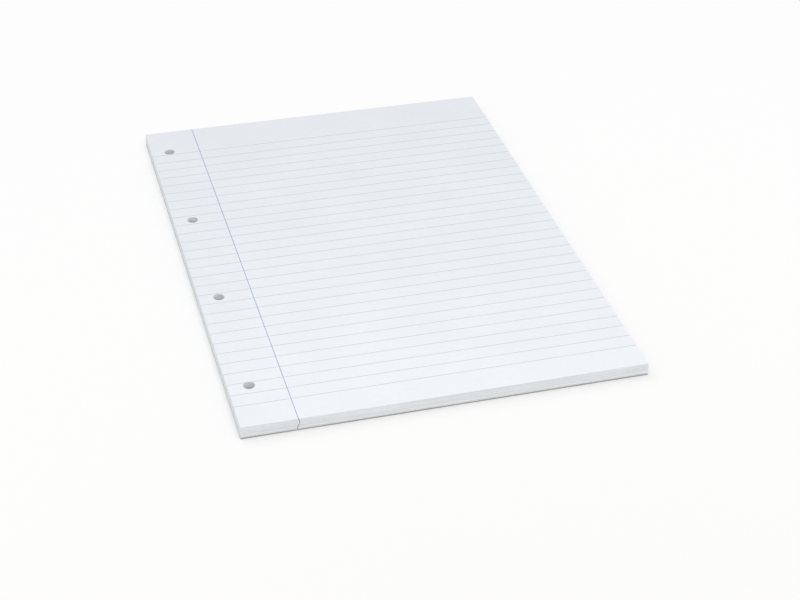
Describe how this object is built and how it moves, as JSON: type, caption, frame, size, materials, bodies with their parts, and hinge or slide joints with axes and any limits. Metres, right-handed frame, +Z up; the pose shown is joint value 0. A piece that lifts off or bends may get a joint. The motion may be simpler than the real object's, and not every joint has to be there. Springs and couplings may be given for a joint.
{
  "type": "ruled writing pad",
  "caption": "Glued A4 writing pad of white ruled sheets on a grey backing board, punched for a ring binder along its left edge.",
  "frame": {"origin": "centre of the bounding box at the underside of the backing board", "axes": "+X across the page to the right, +Y from the page's foot to its glued head, +Z up out of the page"},
  "size_m": [0.21, 0.2974, 0.0069],
  "materials": {
    "paper": "uncoated white writing paper",
    "greyboard": "uncoated grey chipboard",
    "padding_glue": "dried flexible white glue with a low sheen"
  },
  "bodies": {
    "root": {"sheet_block": "paper", "back_board": "greyboard", "glue_strip": "padding_glue"}
  },
  "joints": []
}
